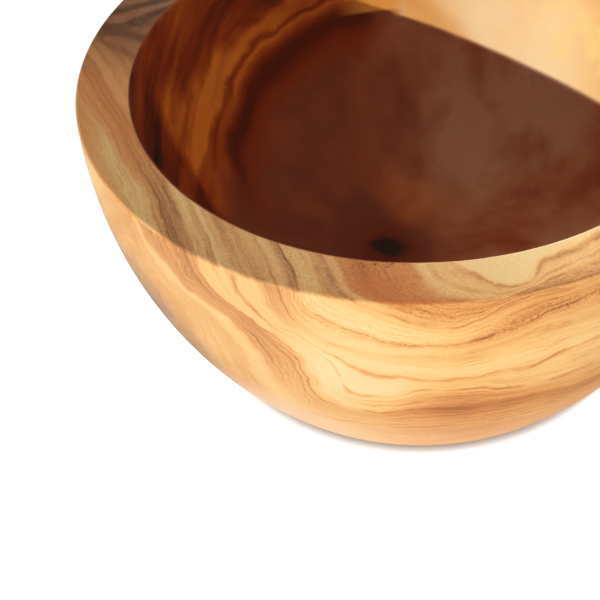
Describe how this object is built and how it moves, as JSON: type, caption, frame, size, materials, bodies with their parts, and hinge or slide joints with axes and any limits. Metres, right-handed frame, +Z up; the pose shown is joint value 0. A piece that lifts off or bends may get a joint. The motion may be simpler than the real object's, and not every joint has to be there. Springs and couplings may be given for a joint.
{
  "type": "cereal bowl",
  "caption": "Round turned wooden bowl with a rounded wall, a broad flat rim, a deep hollow and a flat underside.",
  "frame": {"origin": "centre of the flat underside, on the surface that the bowl stands on", "axes": "+Z up along the turning axis, out of the bowl's mouth; +Y away from the picture's camera; +X to its right"},
  "size_m": [0.14, 0.14, 0.0625],
  "materials": {
    "olive_wood": "sanded smooth and oiled, low sheen, bold dark growth lines"
  },
  "bodies": {
    "root": {"bowl": "olive_wood"}
  },
  "joints": []
}
